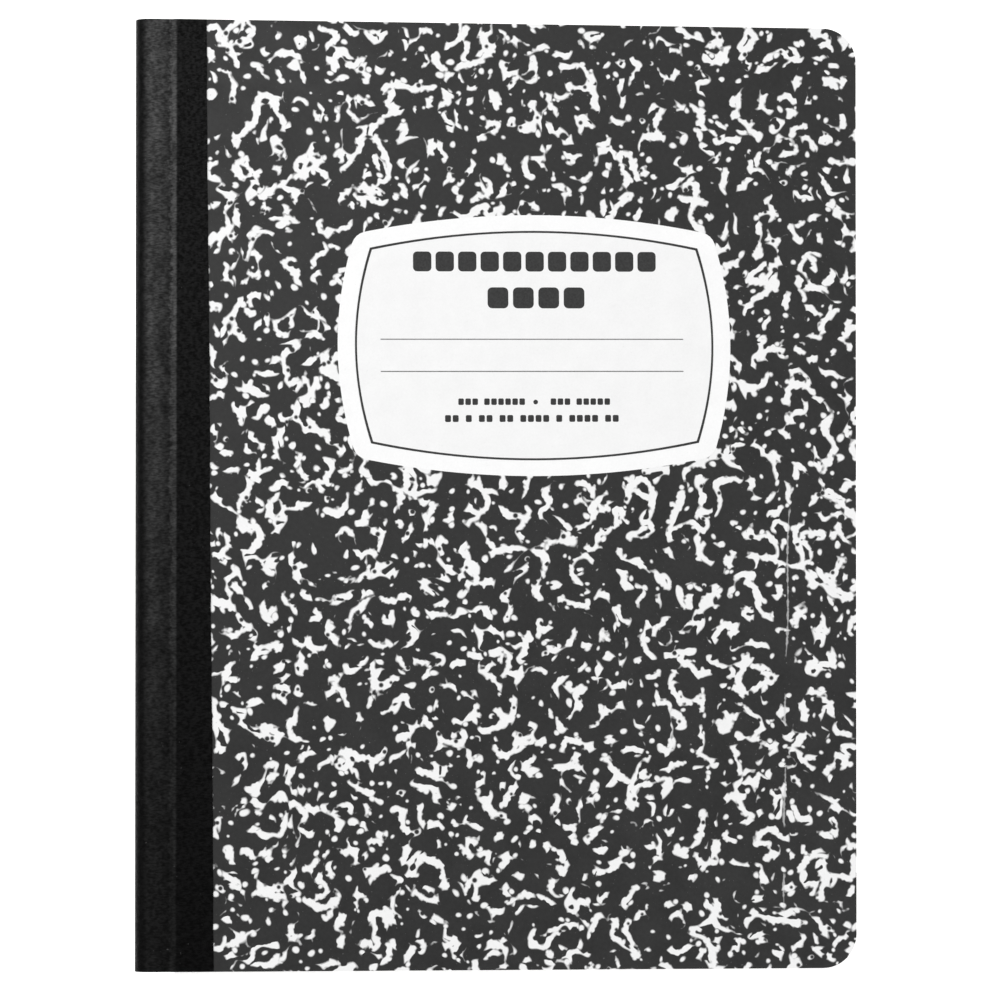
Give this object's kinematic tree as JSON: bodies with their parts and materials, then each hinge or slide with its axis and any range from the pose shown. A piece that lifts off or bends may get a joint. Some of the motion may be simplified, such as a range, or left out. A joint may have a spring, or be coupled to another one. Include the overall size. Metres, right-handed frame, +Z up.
{
  "type": "composition notebook",
  "caption": "Flat sewn notebook with stiff marbled covers, rounded fore-edge corners and a black cloth tape spine; both covers swing open about the taped joint.",
  "frame": {"origin": "middle of the underside of the closed book lying on its back cover", "axes": "+Z up through the front cover, +Y to the head of the book, +X from the spine to the fore edge"},
  "size_m": [0.1906, 0.2476, 0.0111],
  "materials": {
    "front_cover": "marbled paper, low gloss",
    "back_cover": "marbled paper, low gloss",
    "pages": "trimmed uncoated paper",
    "lining": "matt uncoated paper",
    "tape": "black coated cloth, satin",
    "thread": "twisted cotton"
  },
  "bodies": {
    "pages": {"page_block": "pages", "cover_lining": "lining", "spine_tape": "tape", "needle_thread": "thread", "bobbin_thread": "thread"},
    "front_cover": {"front_board": "front_cover"},
    "back_cover": {"back_board": "back_cover"}
  },
  "joints": [
    {"name": "front_hinge", "type": "hinge", "parent": "pages", "child": "front_cover", "pos_m": [-0.08725, 0, 0.0109], "axis": [0, -1, 0], "range_deg": [0, 178], "deforming": ["spine_tape", "cover_lining"]},
    {"name": "back_hinge", "type": "hinge", "parent": "pages", "child": "back_cover", "pos_m": [-0.08725, 0, 0.0002], "axis": [0, 1, 0], "range_deg": [0, 178], "deforming": ["spine_tape", "cover_lining"]}
  ]
}
